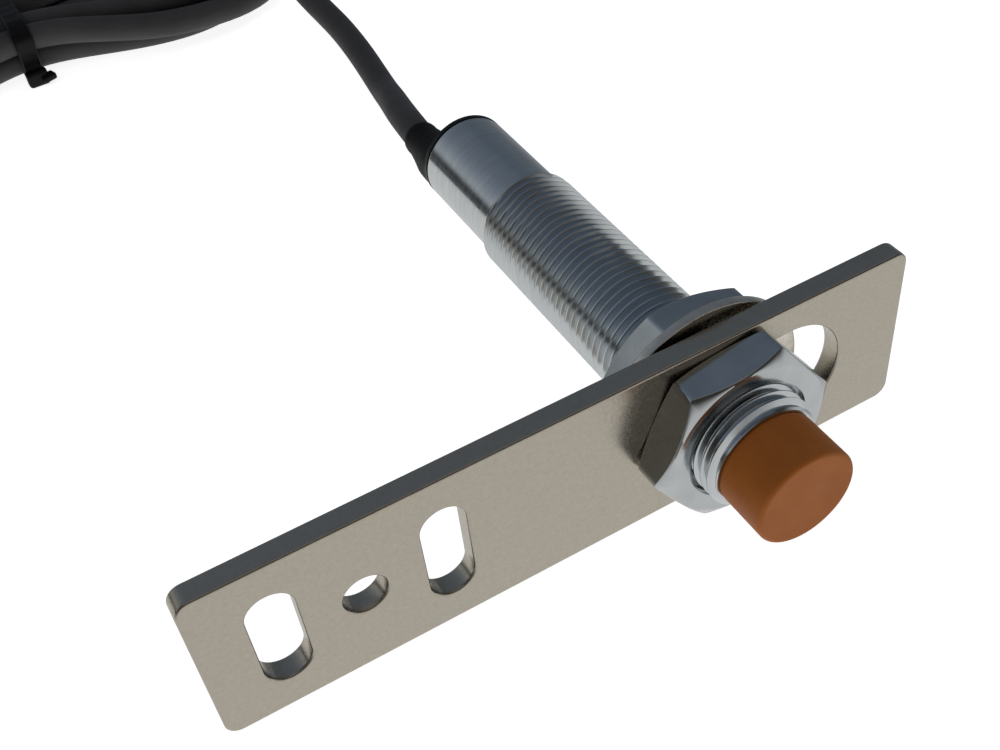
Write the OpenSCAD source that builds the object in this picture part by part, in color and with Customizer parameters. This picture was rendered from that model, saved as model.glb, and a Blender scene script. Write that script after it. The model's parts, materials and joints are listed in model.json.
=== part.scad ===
// Cylindrical inductive proximity sensor, M12 x 1, clamped by two hexagon nuts in a slotted
// bracket plate, with a fixed cable that lies behind it in a tied hank.
// X runs along the plate, +Y towards the cable, +Z up. Z = 0 is the surface it stands on.

/* [Bracket plate] */
// Length of the plate
plate_length = 73; // [70:1:80]
// Height of the plate
plate_height = 19; // [18.5:0.5:21]
// Thickness of the plate
plate_t = 2.3; // [2:0.1:2.5]
// Radius of the plate's corners
plate_corner_r = 1.5; // [0.5:0.5:3]
// Width of the two mounting slots
slot_width = 4.4; // [4.2:0.1:5]
// End-to-end length of the two mounting slots
slot_length = 11.4; // [8:0.2:13]
// Distance between the two mounting slots
slot_spacing = 16; // [15:0.5:18]
// Diameter of the small hole between the slots
pilot_d = 4.2; // [3:0.1:5]
// Width of the long hole that the sensor stands in
travel_hole_width = 12.5; // [12.3:0.1:13]
// Length by which the long hole lets the sensor shift
travel = 8.5; // [8.5:0.5:9]

/* [Sensor] */
// Outside diameter of the thread
thread_d = 12; // [12:12]
// Length of the threaded stretch
thread_length = 42.6; // [40:0.2:44]
// Diameter of the plain rear stretch
rear_d = 10.8; // [10.6:0.1:11]
// Length of the plain rear stretch
rear_length = 14; // [12:0.5:16]
// Diameter of the housing's bore
bore_d = 9.6; // [9.6:9.6]
// Diameter of the sensing cap
cap_d = 10.4; // [10:0.1:10.6]
// Length of the sensing cap in front of the housing
cap_length = 5.8; // [5:0.1:7]

/* [Nuts and washer] */
// Width across the nuts' flats
nut_af = 17; // [16:0.5:17]
// Thickness of a nut
nut_t = 4; // [3.5:0.1:4]
// Outside diameter of the toothed lock washer
washer_d = 21.4; // [21.4:21.4]
// Thickness of the washer's ring
washer_t = 1; // [0.8:0.1:1.2]
// Number of teeth inside the washer
washer_teeth = 12; // [8:1:14]

/* [Cable] */
// Diameter of the cable's jacket
cable_d = 3.8; // [3.6:0.1:4]
// Diameter of one conductor with its insulation
conductor_d = 1.1; // [0.9:0.1:1.2]
// Length of the hank's straight runs
hank_run = 74; // [60:1:80]
// Radius of the hank's outermost centreline at its folds
hank_fold_r = 19; // [19:0.5:22]

/* [Hidden] */
$fn = 64;
fit_gap = 0.025;
eps = 0.2;

// Sensor axis, parallel to Y
axis_x = 15.5;
axis_z = washer_d / 2;

// Stations along Y, from the sensing face to the end of the strain relief
face_y = -35.5;
housing_y = face_y + cap_length;
thread_end_y = housing_y + thread_length;
housing_end_y = thread_end_y + rear_length;
flange_t = 0.7;
flange_y = housing_end_y + flange_t;
relief_end_y = 35.5;
plate_front_y = -23.1;
plate_back_y = plate_front_y + plate_t;
stack_t = 1.45;
rear_nut_y = plate_back_y + stack_t;
plate_z = axis_z - plate_height / 2;

// Holes in the plate
slot_x = [-29.5, -29.5 + slot_spacing];
pilot_x = -21.5;
travel_x = 14.5;

// Nuts: how far each hexagon is turned from the horizontal, and its corner chamfers
front_nut_turn = -6.3;
rear_nut_turn = 9.3;
nut_corner_r = nut_af / sqrt(3);
nut_face_r = nut_af / 2 - 0.2;
nut_chamfer = 0.95;
nut_seat_chamfer = 0.45;

// Sensing head, measured back from the sensing face
cap_wall = 0.8;
cap_round = 1;
cap_total = cap_length + 4;
cap_hollow_r = 4.4;
core_r = 4.3;
core_start = cap_wall + 0.1;
core_end = core_start + 3.6;
core_post_r = 1.6;
core_groove_r = 3.5;
core_groove_end = core_start + 2.4;
flange_thin = 0.25;
winding_start = core_start + 0.3;
winding_end = core_groove_end - 0.35;
lead_x = 2.6;
lead_up = 0.3;
lead_r = 0.15;

// Circuit board and what it carries
board_width = 8;
board_t = 1;
board_z = axis_z + 0.5;
board_top = board_z + board_t;
board_start_y = -29;
board_end_y = 15;

// Cable entry: the cable leaves beside the sensor axis
cable_r = cable_d / 2;
entry_x = axis_x - 2;
entry_z = axis_z - 1;
conductor_r = conductor_d / 2;
conductor_ring = 0.75;
conductor_start_y = 12;
jacket_start_y = 21;
relief_base_r = 4.1;
relief_end_r = 2.2;
pipe_x = axis_x + 2.5;
pipe_z = axis_z + 1.7;
pipe_r = 1;

// Cable behind the sensor, on the surface: lead, hank, tail and its three stripped wires
lead_route = [[13.5, 35.5, 9.7], [13.7, 38, 9.6], [14.7, 44, 8.4], [16.9, 52, 5.2],
    [18.7, 59, 2.4], [19.8, 66, 1.9], [20.5, 72, 1.9], [21, 79, 1.9], [20.8, 84, 2.3],
    [20.2, 89, 3.4], [19.8, 94, 4.7], [19.6, 99, 5.2]];
tail_route = [[-90.5, 102, 1.9], [-90.5, 96, 1.9], [-89.8, 87, 1.9], [-87.8, 78, 1.9],
    [-84.5, 69, 1.9]];
brown_route = [[-85.1, 68.9, 1.4], [-84.6, 65, 1], [-84.3, 60, 0.6], [-84.9, 52, 0.6],
    [-86.4, 43, 0.6], [-87, 34, 0.6]];
blue_route = [[-84.5, 68.9, 2.5], [-83.4, 65, 2.1], [-81.8, 59, 0.8], [-79.4, 52, 0.6],
    [-77.4, 45, 0.6], [-77.6, 36, 0.6]];
black_route = [[-83.9, 68.9, 1.4], [-82.2, 65, 1], [-78.6, 60.5, 0.6], [-73.6, 55.5, 0.6],
    [-68.4, 50, 0.6], [-65, 42, 0.6]];
hank_x = 2.5;
hank_y = 110;
hank_h = 8.4;
hank_edge_r = hank_fold_r + cable_r;
tie_x = -21.5;
tie_w = 3.4;
tie_t = 1;
near_pull = 8.7;
near_spread = 11;
far_pull = 13;
far_spread = 16;
blend_y = 12;

// ---- helpers ----

// Places a shape that is drawn along +Z so that it runs along +Y from station y
module along_y(x, y, z) {
    translate([x, y, z]) rotate([-90, 0, 0]) children();
}

module on_axis(y) {
    along_y(axis_x, y, axis_z) children();
}

// A round hole or rod along +Y between two stations
module rod(x, z, r, from_y, to_y) {
    along_y(x, from_y, z) cylinder(r = r, h = to_y - from_y);
}

module tube(outer_r, inner_r, h) {
    difference() {
        cylinder(r = outer_r, h = h);
        translate([0, 0, -eps]) cylinder(r = inner_r, h = h + 2 * eps);
    }
}

// A flat outline in X and Z, drawn thick along +Y from station y
module panel(y, t) {
    translate([0, y + t, 0]) rotate([90, 0, 0]) linear_extrude(t) children();
}

module rounded_rectangle(size, r) {
    translate([r, 0]) square([size.x - 2 * r, size.y]);
    translate([0, r]) square([size.x, size.y - 2 * r]);
    for (x = [r, size.x - r], y = [r, size.y - r]) translate([x, y]) circle(r);
}

// A slot between two centres, along X or along the drawing's Y
module slot(a, b, r) {
    step = b - a;
    translate(a) circle(r);
    translate(b) circle(r);
    if (step.x > 0) translate([a.x, a.y - r]) square([step.x, 2 * r]);
    else translate([a.x - r, a.y]) square([2 * r, step.y]);
}

// Box between two corners
module box(low, high) {
    translate(low) cube(high - low);
}

// Point of a Catmull-Rom curve through the route, at u = 0 .. len - 1
function curve_at(p, u) =
    let (n = len(p), i = min(floor(u), n - 2), t = u - i,
        a = p[max(i - 1, 0)], b = p[i], c = p[i + 1], d = p[min(i + 2, n - 1)])
    0.5 * (2 * b + (c - a) * t + (2 * a - 5 * b + 4 * c - d) * t * t
        + (3 * b - a - 3 * c + d) * t * t * t);

// A ring of the sweep, square to the direction of travel
function ring_at(centre, heading, r, sides) =
    let (fore = heading / norm(heading), side = cross(fore, [0, 0, 1]),
        across = side / norm(side), up = cross(across, fore))
    [for (k = [0 : sides - 1]) let (a = 360 * (k + 0.5) / sides)
        centre + r * (cos(a) * across + sin(a) * up)];

// Round tube swept along a route
module swept_tube(route, r, rings, sides = 8) {
    last = len(route) - 1;
    stations = [for (k = [0 : rings - 1]) last * k / (rings - 1)];
    points = [for (u = stations)
        let (ahead = curve_at(route, min(u + 0.05, last)), behind = curve_at(route, max(u - 0.05, 0)))
        each ring_at(curve_at(route, u), ahead - behind, r, sides)];
    walls = [for (i = [0 : rings - 2], k = [0 : sides - 1])
        let (j = (k + 1) % sides, low = i * sides, high = low + sides)
        each [[low + k, high + k, high + j], [low + k, high + j, low + j]]];
    front = [[for (k = [0 : sides - 1]) k]];
    back = [[for (k = [sides - 1 : -1 : 0]) (rings - 1) * sides + k]];
    polyhedron(points = points, faces = concat(front, walls, back));
}

// ---- bracket ----

module bracket_plate() {
    color("silver") difference() {
        panel(plate_front_y, plate_t) translate([-plate_length / 2, plate_z])
            rounded_rectangle([plate_length, plate_height], plate_corner_r);
        panel(plate_front_y - eps, plate_t + 2 * eps) {
            half = (slot_length - slot_width) / 2;
            for (x = slot_x) slot([x, axis_z - half], [x, axis_z + half], slot_width / 2);
            translate([pilot_x, axis_z]) circle(pilot_d / 2);
            slot([travel_x, axis_z], [travel_x + travel, axis_z], travel_hole_width / 2);
        }
    }
}

// ---- nuts and washer ----

// Hexagon nut with its corners chamfered, more on its outer face than on its seat
module hex_nut(turn) {
    bore_r = thread_d / 2 + fit_gap;
    flare = 0.5;
    rim_r = nut_corner_r + 0.3;
    beyond = (rim_r - nut_face_r) / (nut_corner_r - nut_face_r);
    difference() {
        intersection() {
            rotate(turn) cylinder(r = nut_corner_r, h = nut_t, $fn = 6);
            rotate_extrude() polygon([[0, 0], [nut_face_r, 0], [rim_r, beyond * nut_chamfer],
                [rim_r, nut_t - beyond * nut_seat_chamfer], [nut_face_r, nut_t], [0, nut_t]]);
        }
        translate([0, 0, -eps]) cylinder(r = bore_r, h = nut_t + 2 * eps);
        translate([0, 0, -eps]) cylinder(r1 = bore_r + flare + eps, r2 = bore_r, h = flare + eps);
        translate([0, 0, nut_t - flare])
            cylinder(r1 = bore_r, r2 = bore_r + flare + eps, h = flare + eps);
    }
}

module front_nut() {
    color("gainsboro") on_axis(plate_front_y - nut_t) hex_nut(front_nut_turn);
}

module rear_nut() {
    color("gainsboro") on_axis(rear_nut_y + nut_t) mirror([0, 0, 1]) hex_nut(rear_nut_turn);
}

// Ring against the rear nut, with inner teeth twisted so that they bite on both sides
module lock_washer() {
    tooth_tip_r = thread_d / 2 + 0.3;
    ring_inner_r = 8.2;
    tooth_w = 2.2;
    tooth_t = 0.8;
    tooth_tilt = 17;
    color("lightgray") on_axis(plate_back_y) {
        translate([0, 0, stack_t - washer_t]) tube(washer_d / 2, ring_inner_r, washer_t);
        for (k = [0 : washer_teeth - 1]) rotate(360 * k / washer_teeth)
            translate([tooth_tip_r, 0, stack_t / 2]) rotate([tooth_tilt, 0, 0])
                translate([0, -tooth_w / 2, -tooth_t / 2])
                    cube([ring_inner_r + eps - tooth_tip_r, tooth_w, tooth_t]);
    }
}

// ---- housing and sensing head ----

module housing() {
    thread_r = thread_d / 2;
    rear_r = rear_d / 2;
    run_out = thread_r - rear_r;
    edge = 0.4;
    profile = [[0, 0], [rear_r, 0], [thread_r, run_out], [thread_r, thread_length],
        [rear_r, thread_length + run_out], [rear_r, thread_length + rear_length - edge],
        [rear_r - edge, thread_length + rear_length], [0, thread_length + rear_length]];
    color("silver") on_axis(housing_y) difference() {
        rotate_extrude() polygon(profile);
        translate([0, 0, -eps]) cylinder(d = bore_d, h = thread_length + rear_length + 2 * eps);
    }
}

// Cup with a rounded front edge; its spigot sits in the housing's bore
module sensing_cap() {
    cap_r = cap_d / 2;
    spigot_r = bore_d / 2 - fit_gap;
    front_edge = [for (a = [0 : 15 : 90])
        [cap_r - cap_round + cap_round * sin(a), cap_round - cap_round * cos(a)]];
    outline = concat([[0, 0]], front_edge, [[cap_r, cap_length], [spigot_r, cap_length],
        [spigot_r, cap_total], [cap_hollow_r, cap_total], [cap_hollow_r, cap_wall], [0, cap_wall]]);
    color("darkorange") on_axis(face_y) rotate_extrude() polygon(outline);
}

// Half pot core, open towards the sensing face
module ferrite_core() {
    color("dimgray") on_axis(face_y) difference() {
        translate([0, 0, core_start]) cylinder(r = core_r, h = core_end - core_start);
        translate([0, 0, core_start - eps])
            tube(core_groove_r, core_post_r, core_groove_end - core_start + eps);
        for (x = [-lead_x, lead_x]) translate([x, -lead_up, core_start])
            cylinder(r = 0.4, h = core_end, $fn = 24);
    }
}

module coil_bobbin() {
    inner_r = core_post_r + 0.05;
    outer_r = core_groove_r - 0.1;
    color("ivory") on_axis(face_y) difference() {
        union() {
            translate([0, 0, winding_start - flange_thin]) tube(outer_r, inner_r, flange_thin);
            translate([0, 0, winding_start - eps])
                tube(inner_r + 0.25, inner_r, winding_end - winding_start + 2 * eps);
            translate([0, 0, winding_end]) tube(outer_r, inner_r, flange_thin);
        }
        for (x = [-lead_x, lead_x]) translate([x, -lead_up, winding_end - 0.01])
            cylinder(r = 0.3, h = 1, $fn = 24);
    }
}

module coil_winding() {
    color("chocolate") on_axis(face_y + winding_start)
        tube(core_groove_r - 0.2, core_post_r + 0.3, winding_end - winding_start);
}

// Plug behind the core that keeps it in the cap and holds the front of the board
module core_holder() {
    holder_start = core_end + 0.05;
    color("whitesmoke") difference() {
        on_axis(face_y) {
            difference() {
                translate([0, 0, holder_start]) cylinder(r = core_r, h = cap_total - holder_start);
                for (x = [-lead_x, lead_x]) translate([x, -lead_up, 0])
                    cylinder(r = 0.4, h = cap_total + eps, $fn = 24);
            }
        }
        box([axis_x - 5, board_start_y - 0.05, board_z - 0.05],
            [axis_x + 5, face_y + cap_total + eps, board_top + 0.05]);
    }
}

module coil_leads() {
    color("peru") for (x = [-lead_x, lead_x])
        rod(axis_x + x, axis_z + lead_up, lead_r, face_y + winding_end, board_start_y + 4);
}

// ---- electronics ----

module circuit_board() {
    color("darkgreen") box([axis_x - board_width / 2, board_start_y, board_z],
        [axis_x + board_width / 2, board_end_y, board_top]);
}

// Moulded chip standing on the board, with legs along both long sides
module chip(x, y, size, legs) {
    translate([x, y, board_top]) {
        translate([-size.x / 2, -size.y / 2, 0.1]) cube([size.x, size.y, size.z - 0.1]);
        pitch = size.y / legs;
        for (k = [0 : legs - 1], side = [-1, 1])
            translate([side * (size.x / 2 + 0.2) - 0.4, (k + 0.5) * pitch - size.y / 2 - 0.2, 0])
                cube([0.8, 0.4, 0.3]);
    }
}

module oscillator_ic() {
    color("black") chip(axis_x, -19, [3.9, 4.9, 1.5], 4);
}

module output_transistor() {
    color("black") chip(axis_x, 3, [3.5, 3, 1.5], 2);
}

module resistors() {
    size = [2, 1.2, 0.5];
    color("black") {
        for (y = [-24.2, -14, -11.6, -9.2, -2.2, 7.6])
            translate([axis_x - 3, y, board_top]) cube(size);
        for (y = [-14, -9.2, -0.6]) translate([axis_x + 1.2, y, board_top]) cube(size);
    }
}

module capacitors() {
    color("burlywood") {
        for (y = [-24.2, -11.6]) translate([axis_x + 1, y, board_top]) cube([2, 1.2, 1]);
        translate([axis_x - 1.3, -6, board_top]) cube([2.6, 3.4, 1.7]);
    }
}

module protection_diode() {
    color("black") chip(axis_x - 1, 11, [1.6, 2.7, 1.2], 1);
}

module indicator_led() {
    color("gold") box([pipe_x - 0.8, board_end_y - 1.2, board_top], [pipe_x + 0.8, board_end_y, board_top + 1]);
}

// Clear rod that carries the light to the rear face
module light_pipe() {
    color("lemonchiffon") rod(pipe_x, pipe_z, pipe_r, board_end_y + 0.1, flange_y + 0.2);
}

// ---- rear end ----

// Where the three conductors lie round the cable's centre
function conductor_at(k) = let (a = 90 + 120 * k)
    [entry_x + conductor_ring * cos(a), entry_z + conductor_ring * sin(a)];

module conductor_holes(r, from_y, to_y) {
    for (k = [0 : 2]) rod(conductor_at(k).x, conductor_at(k).y, r, from_y, to_y);
}

module potting_resin() {
    spigot_y = housing_end_y - 3;
    color("saddlebrown") difference() {
        rod(axis_x, axis_z, bore_d / 2 - fit_gap, board_end_y + 0.1, spigot_y);
        conductor_holes(conductor_r + 0.02, board_end_y - 1, jacket_start_y + eps);
        rod(entry_x, entry_z, cable_r + 0.02, jacket_start_y, spigot_y + eps);
        rod(pipe_x, pipe_z, pipe_r + 0.02, board_end_y - 1, spigot_y + eps);
    }
}

module end_cap() {
    spigot_y = housing_end_y - 3;
    color("black") difference() {
        union() {
            rod(axis_x, axis_z, bore_d / 2 - fit_gap, spigot_y, housing_end_y + flange_t / 2);
            rod(axis_x, axis_z, rear_d / 2, housing_end_y, flange_y);
        }
        rod(entry_x, entry_z, cable_r + 0.02, spigot_y - eps, flange_y + eps);
        rod(pipe_x, pipe_z, pipe_r + 0.02, spigot_y - eps, flange_y + eps);
    }
}

// Flared boot round the cable, trimmed to the end cap's edge
module strain_relief() {
    steps = 10;
    h = relief_end_y - flange_y;
    flare = [for (k = [0 : steps]) let (t = k / steps)
        [relief_end_r + (relief_base_r - relief_end_r) * pow(1 - t, 1.6), h * t]];
    color("black") difference() {
        intersection() {
            along_y(entry_x, flange_y, entry_z) rotate_extrude()
                polygon(concat([[0, 0]], flare, [[0, h]]));
            rod(axis_x, axis_z, rear_d / 2 - 0.1, flange_y, relief_end_y);
        }
        rod(entry_x, entry_z, cable_r + 0.02, flange_y - eps, relief_end_y + eps);
    }
}

// End of the jacket inside the housing and the boot
module cable_entry() {
    color("darkslategray") difference() {
        rod(entry_x, entry_z, cable_r, jacket_start_y, relief_end_y);
        conductor_holes(conductor_r + 0.01, jacket_start_y - eps, relief_end_y + eps);
    }
}

module conductor(k) {
    rod(conductor_at(k).x, conductor_at(k).y, conductor_r, conductor_start_y, relief_end_y);
}

module conductor_brown() {
    color("sienna") conductor(0);
}

module conductor_blue() {
    color("royalblue") conductor(1);
}

module conductor_black() {
    color("black") conductor(2);
}

// ---- cable on the surface ----

module cable_lead() {
    color("darkslategray") swept_tube(lead_route, cable_r, 12);
}

module cable_tail() {
    color("darkslategray") swept_tube(tail_route, cable_r, 6);
}

// Pull of the tie on the two runs of the hank, fading away from the tie
function squeeze(x, pull, spread) = pull * exp(-pow((x - tie_x) / spread, 2) / 2);

// A point of the untied hank, moved to where the tie draws it
function tied(p) =
    let (far = 0.5 + 0.5 * sin(90 * min(max((p.y - hank_y) / blend_y, -1), 1)))
    [p.x, p.y + (1 - far) * squeeze(p.x, near_pull, near_spread)
        - far * squeeze(p.x, far_pull, far_spread)];

// Outer shape of the tied hank
module cable_hank() {
    left_x = hank_x - hank_run;
    steps = 20;
    run_x = [for (k = [1 : steps - 1]) left_x + hank_run * k / steps];
    near = [for (x = run_x) [x, hank_y - hank_edge_r]];
    far = [for (k = [len(run_x) - 1 : -1 : 0]) [run_x[k], hank_y + hank_edge_r]];
    right = [for (a = [-90 : 10 : 90]) [hank_x, hank_y] + hank_edge_r * [cos(a), sin(a)]];
    left = [for (a = [90 : 10 : 270]) [left_x, hank_y] + hank_edge_r * [cos(a), sin(a)]];
    color("darkslategray") linear_extrude(hank_h)
        polygon([for (p = concat(near, right, far, left)) tied(p)]);
}

// Flat band round the bundle, with its head in front at the bottom
module cable_tie() {
    near_y = hank_y - hank_edge_r + near_pull;
    far_y = hank_y + hank_edge_r - far_pull;
    top = hank_h + 0.2;
    head = [4.6, 3.2, 3.4];
    color("black") {
        translate([tie_x - tie_w / 2, 0, 0]) difference() {
            translate([0, near_y - tie_t, 0]) cube([tie_w, far_y - near_y + 2 * tie_t, top + tie_t]);
            translate([-eps, near_y, tie_t]) cube([tie_w + 2 * eps, far_y - near_y, top - tie_t]);
        }
        translate([tie_x - head.x / 2, near_y - tie_t - head.y + eps, 0]) cube(head);
    }
}

module wire_brown() {
    color("sienna") swept_tube(brown_route, conductor_r, 12);
}

module wire_blue() {
    color("royalblue") swept_tube(blue_route, conductor_r, 12);
}

module wire_black() {
    color("black") swept_tube(black_route, conductor_r, 12);
}

bracket_plate();
front_nut();
rear_nut();
lock_washer();
housing();
sensing_cap();
ferrite_core();
coil_bobbin();
coil_winding();
core_holder();
coil_leads();
circuit_board();
oscillator_ic();
output_transistor();
resistors();
capacitors();
protection_diode();
indicator_led();
light_pipe();
potting_resin();
end_cap();
strain_relief();
cable_entry();
conductor_brown();
conductor_blue();
conductor_black();
cable_lead();
cable_hank();
cable_tail();
cable_tie();
wire_brown();
wire_blue();
wire_black();
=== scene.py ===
"""Looks of the cylindrical proximity sensor: cable, metal, plastic, floor, light and camera."""
import json
import math

import bmesh
import bpy
from mathutils import Matrix, Vector


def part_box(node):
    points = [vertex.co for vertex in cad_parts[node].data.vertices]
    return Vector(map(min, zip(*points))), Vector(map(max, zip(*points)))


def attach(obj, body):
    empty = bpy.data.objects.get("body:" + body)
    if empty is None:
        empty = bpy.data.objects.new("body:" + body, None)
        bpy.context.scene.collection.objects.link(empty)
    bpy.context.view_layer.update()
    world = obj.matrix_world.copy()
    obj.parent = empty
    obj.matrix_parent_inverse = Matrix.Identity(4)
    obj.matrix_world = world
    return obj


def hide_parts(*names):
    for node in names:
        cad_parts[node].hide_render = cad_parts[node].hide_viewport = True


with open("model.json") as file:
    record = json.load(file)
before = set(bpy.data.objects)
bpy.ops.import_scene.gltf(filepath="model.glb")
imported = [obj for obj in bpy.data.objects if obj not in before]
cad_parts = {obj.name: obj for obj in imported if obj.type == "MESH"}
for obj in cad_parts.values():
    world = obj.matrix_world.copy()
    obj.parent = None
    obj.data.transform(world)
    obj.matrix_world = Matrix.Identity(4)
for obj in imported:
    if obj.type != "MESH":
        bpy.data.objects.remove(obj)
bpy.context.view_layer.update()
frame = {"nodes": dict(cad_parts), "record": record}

MM = 0.001
TAU = 2 * math.pi
MERGE_DISTANCE = 1e-6
SHARP_ANGLE = 32


# ---- measures that the frame gives ----

HOUSING_LOW, HOUSING_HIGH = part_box("housing")
AXIS_X = (HOUSING_LOW.x + HOUSING_HIGH.x) / 2
AXIS_Z = (HOUSING_LOW.z + HOUSING_HIGH.z) / 2
THREAD_R = (HOUSING_HIGH.x - HOUSING_LOW.x) / 2
PLATE_LOW, PLATE_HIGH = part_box("bracket_plate")


# ---- camera ----

CAMERA_PLACE = (-0.03592, -0.08847, 0.10007)
CAMERA_RIGHT = (0.8658, -0.4917, -0.0931)
CAMERA_DOWN = (-0.4073, -0.5843, -0.7020)
CAMERA_FORWARD = (0.2908, 0.6457, -0.7061)
SENSOR_WIDTH = 36
LENS = 46.43


def make_camera():
    """Looks down on the sensor from in front and to the left."""
    axes = (Vector(CAMERA_RIGHT), -Vector(CAMERA_DOWN), -Vector(CAMERA_FORWARD))
    data = bpy.data.cameras.new("camera")
    data.sensor_width = SENSOR_WIDTH
    data.lens = LENS
    data.clip_start = 0.005
    data.clip_end = 20
    camera = bpy.data.objects.new("camera", data)
    turn = Matrix(axes).transposed().to_4x4()
    camera.matrix_world = Matrix.Translation(CAMERA_PLACE) @ turn
    bpy.context.scene.collection.objects.link(camera)
    bpy.context.scene.camera = camera


make_camera()


# ---- mesh helpers ----

def add_object(name, data, body, node=None):
    """Links a finished piece, lets it ride and hides the CAD node that it stands for."""
    piece = bpy.data.objects.new(name, data)
    bpy.context.scene.collection.objects.link(piece)
    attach(piece, body)
    if node:
        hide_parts(node)
    if piece.type == "MESH":
        piece.modifiers.new("flat_faces", "WEIGHTED_NORMAL").keep_sharp = True
    return piece


def mesh_from(build, name):
    """Runs build(bm) on an empty bmesh, then merges, orients and smooths the result."""
    bm = bmesh.new()
    build(bm)
    bmesh.ops.remove_doubles(bm, verts=bm.verts, dist=MERGE_DISTANCE)
    bmesh.ops.dissolve_degenerate(bm, edges=bm.edges, dist=MERGE_DISTANCE / 10)
    bmesh.ops.recalc_face_normals(bm, faces=bm.faces)
    data = bpy.data.meshes.new(name)
    bm.to_mesh(data)
    bm.free()
    data.shade_smooth()
    data.set_sharp_from_angle(angle=math.radians(SHARP_ANGLE))
    return data


def round_the_axis(angle, radius, y, x0=AXIS_X, z0=AXIS_Z):
    """Point at an angle round an axis along Y; the angle grows from +Z towards +X."""
    return Vector((x0 + radius * math.sin(angle), y, z0 + radius * math.cos(angle)))


def join_rows(bm, rows, closed=True, shift=0):
    """Quads between neighbouring rows of vertices. At the seam a row joins the one shift on."""
    count = len(rows[0])
    last = len(rows) - 1
    for i in range(last):
        for j in range(count if closed else count - 1):
            if j + 1 < count:
                quad = (rows[i][j], rows[i][j + 1], rows[i + 1][j + 1], rows[i + 1][j])
            else:
                low, high = min(i + shift, last), min(i + 1 + shift, last)
                quad = (rows[i][j], rows[low][0], rows[high][0], rows[i + 1][j])
            corners = list(dict.fromkeys(quad))
            if len(corners) > 2 and (corners[0].co - corners[2].co).length > 1e-9:
                bm.faces.new(corners)


def lathe(bm, profile, sides=96, x0=AXIS_X, z0=AXIS_Z):
    """Turns (radius, y) points round an axis along Y; a closed profile ends where it began."""
    rows = [
        [bm.verts.new(round_the_axis(TAU * j / sides, r, y, x0, z0)) for j in range(sides)]
        for r, y in profile
    ]
    join_rows(bm, rows)


def arc(cx, cy, radius, start, end, steps=6):
    """Points of an arc in the (radius, y) plane, angles in degrees."""
    angles = [math.radians(start + (end - start) * k / steps) for k in range(steps + 1)]
    return [(cx + radius * math.cos(a), cy + radius * math.sin(a)) for a in angles]


# ---- cable ----

CABLE_D = 0.0038
CABLE_R = CABLE_D / 2
WIRE_D = 0.0011
TIP_R = 0.00034
BARE_POINTS = 3
LEAD_ROUTE = [
    (0.0135, 0.0355, 0.0097), (0.0137, 0.038, 0.0096), (0.0147, 0.044, 0.0084),
    (0.0169, 0.052, 0.0052), (0.0187, 0.059, 0.0024), (0.0198, 0.066, 0.0019),
    (0.0205, 0.072, 0.0019), (0.021, 0.079, 0.0019), (0.0208, 0.084, 0.0023),
    (0.0202, 0.089, 0.0034), (0.0198, 0.094, 0.0047), (0.0196, 0.099, 0.0052),
]
TAIL_ROUTE = [
    (-0.0905, 0.102, 0.0019), (-0.0905, 0.096, 0.0019), (-0.0898, 0.087, 0.0019),
    (-0.0878, 0.078, 0.0019), (-0.0845, 0.069, 0.0019),
]
WIRE_ROUTES = {
    "brown": [
        (-0.0851, 0.0689, 0.0014), (-0.0846, 0.065, 0.001), (-0.0843, 0.06, 0.0006),
        (-0.0849, 0.052, 0.0006), (-0.0864, 0.043, 0.0006), (-0.087, 0.034, 0.0006),
    ],
    "blue": [
        (-0.0845, 0.0689, 0.0025), (-0.0834, 0.065, 0.0021), (-0.0818, 0.059, 0.0008),
        (-0.0794, 0.052, 0.0006), (-0.0774, 0.045, 0.0006), (-0.0776, 0.036, 0.0006),
    ],
    "black": [
        (-0.0839, 0.0689, 0.0014), (-0.0822, 0.065, 0.001), (-0.0786, 0.0605, 0.0006),
        (-0.0736, 0.0555, 0.0006), (-0.0684, 0.05, 0.0006), (-0.065, 0.042, 0.0006),
    ],
}
HANK_X = 0.0025
HANK_Y = 0.110
HANK_RUN = 0.074
HANK_LEFT = HANK_X - HANK_RUN
OUTER_R = 5 * CABLE_D
MIDDLE_R = 4 * CABLE_D
BUNDLE_U = 3.75 * CABLE_D
TIE_X = -0.0215
TIE_T = 0.001
TIE_W = 0.0028
TIE_LIFT_SPREAD = 0.009
NEAR_PULL, NEAR_SPREAD = 0.0058, 0.011
FAR_PULL, FAR_SPREAD = 0.013, 0.016
BLEND_Y = 0.012
LEAN_LEFT, LEAN_AT_TIE, LEAN_AT_FOLD = 60, 74, 36
STAND_UP = 0.00085
TURNS = 4
STEP = 0.0015
RELAX_ROUNDS = 12


def smooth(t):
    """Eases 0..1 in and out, and holds the ends."""
    t = min(max(t, 0.0), 1.0)
    return t * t * (3 - 2 * t)


def bell(x, spread):
    """1 at the tie, and less the further a point lies from it along X."""
    return math.exp(-((x - TIE_X) / spread) ** 2 / 2)


def tied(p):
    """Moves a point of the untied hank to where the tie draws it, and lifts it on the band."""
    far = 0.5 + 0.5 * math.sin(math.pi / 2 * min(max((p.y - HANK_Y) / BLEND_Y, -1), 1))
    pull = (1 - far) * NEAR_PULL * bell(p.x, NEAR_SPREAD) - far * FAR_PULL * bell(p.x, FAR_SPREAD)
    return Vector((p.x, p.y + pull, p.z + TIE_T * bell(p.x, TIE_LIFT_SPREAD)))


def bundle_place(turn, t):
    """(offset, height) of one of four strands that lie two and two; t rolls them one place on."""
    beta = math.radians(30 + 30 * t)
    reach = (CABLE_D * math.cos(beta), CABLE_D * math.sin(beta))
    angles = [math.radians(30 + 90 * (k + t)) for k in range(TURNS)]
    base = CABLE_R + max(-reach[k % 2] * math.sin(angles[k]) for k in range(TURNS))
    return (BUNDLE_U + reach[turn % 2] * math.cos(angles[turn]),
            base + reach[turn % 2] * math.sin(angles[turn]))


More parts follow.
